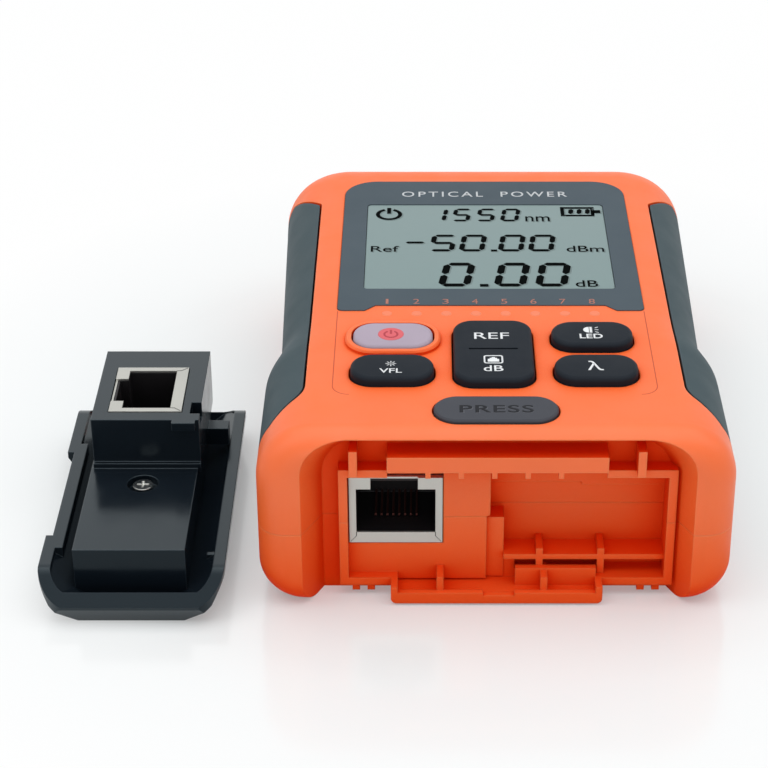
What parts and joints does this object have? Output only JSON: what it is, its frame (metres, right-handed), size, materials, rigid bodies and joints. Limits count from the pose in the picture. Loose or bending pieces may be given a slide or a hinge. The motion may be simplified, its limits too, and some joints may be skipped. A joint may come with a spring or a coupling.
{
  "type": "optical power meter",
  "caption": "Handheld optical power meter with display, keys, side grips, a shielded network jack in its nose bay, and a detached remote cap that carries a second jack.",
  "frame": {"origin": "centre of the meter's flat back, on the surface it lies on", "axes": "+Z out of the meter's face, +Y from its nose bay to its port end, +X to the right of the face"},
  "size_m": [0.1189, 0.1278, 0.0359],
  "materials": {
    "orange_shell": "satin moulded plastic",
    "grip_rubber": "soft matt overmould",
    "bezel": "fine matt printed panel",
    "lcd": "display glass",
    "white_plastic": "light guide frame",
    "board": "circuit board",
    "key_rubber": "satin key rubber",
    "power_key": "translucent key rubber",
    "button_plastic": "matt moulded plastic",
    "lamp": "clear lamp resin",
    "shield": "nickel-plated sheet",
    "jack_insert": "black moulded insert",
    "gold": "gold-plated spring wire",
    "port_metal": "nickel-plated turned metal",
    "cap_rubber": "soft black rubber",
    "cell": "printed cell jacket",
    "screw_steel": "zinc-plated steel",
    "remote_plastic": "glossy dark moulded plastic"
  },
  "bodies": {
    "root": {"front_shell": "orange_shell", "back_shell": "orange_shell", "side_grip_left": "grip_rubber", "side_grip_right": "grip_rubber", "display_bezel": "bezel", "lcd_panel": "lcd", "lcd_holder": "white_plastic", "main_board": "board", "jack_board": "board", "remote_board": "board", "key_mat": "key_rubber", "key_switches": "screw_steel", "indicator_leds": "lamp", "torch_led": "lamp", "jack_shield": "shield", "jack_housing": "jack_insert", "jack_contacts": "gold", "remote_jack_shield": "shield", "remote_jack_housing": "jack_insert", "remote_jack_contacts": "gold", "opm_port": "port_metal", "vfl_port": "port_metal", "battery_cells": "cell", "battery_contacts": "screw_steel", "case_screws": "screw_steel", "remote_screw": "screw_steel", "remote_cover": "remote_plastic", "remote_block": "remote_plastic"},
    "key_power": {"key_power": "power_key"},
    "key_vfl": {"key_vfl": "key_rubber"},
    "key_ref_db": {"key_ref_db": "key_rubber"},
    "key_led": {"key_led": "key_rubber"},
    "key_wavelength": {"key_wavelength": "key_rubber"},
    "release_button": {"release_button": "button_plastic"},
    "battery_door": {"battery_door": "orange_shell"},
    "opm_cap": {"opm_cap": "cap_rubber"},
    "vfl_cap": {"vfl_cap": "cap_rubber"}
  },
  "joints": [
    {"name": "key_power_press", "type": "slide", "parent": "root", "child": "key_power", "axis": [0, 0, -1], "range_m": [0, 0.0008], "stiffness_N_per_m": 1200, "springref_m": -0.0003},
    {"name": "key_vfl_press", "type": "slide", "parent": "root", "child": "key_vfl", "axis": [0, 0, -1], "range_m": [0, 0.0008], "stiffness_N_per_m": 1200, "springref_m": -0.0003},
    {"name": "key_ref_db_press", "type": "slide", "parent": "root", "child": "key_ref_db", "axis": [0, 0, -1], "range_m": [0, 0.0008], "stiffness_N_per_m": 1200, "springref_m": -0.0003},
    {"name": "key_led_press", "type": "slide", "parent": "root", "child": "key_led", "axis": [0, 0, -1], "range_m": [0, 0.0008], "stiffness_N_per_m": 1200, "springref_m": -0.0003},
    {"name": "key_wavelength_press", "type": "slide", "parent": "root", "child": "key_wavelength", "axis": [0, 0, -1], "range_m": [0, 0.0008], "stiffness_N_per_m": 1200, "springref_m": -0.0003},
    {"name": "release_button_press", "type": "slide", "parent": "root", "child": "release_button", "axis": [0, 0, -1], "range_m": [0, 0.0008], "stiffness_N_per_m": 1800, "springref_m": -0.0004},
    {"name": "battery_door_lift", "type": "slide", "parent": "root", "child": "battery_door", "axis": [0, 0, -1], "range_m": [0, 0.012]},
    {"name": "opm_cap_pull", "type": "slide", "parent": "root", "child": "opm_cap", "axis": [0, 1, 0], "range_m": [0, 0.012]},
    {"name": "vfl_cap_pull", "type": "slide", "parent": "root", "child": "vfl_cap", "axis": [0, 1, 0], "range_m": [0, 0.012]}
  ]
}
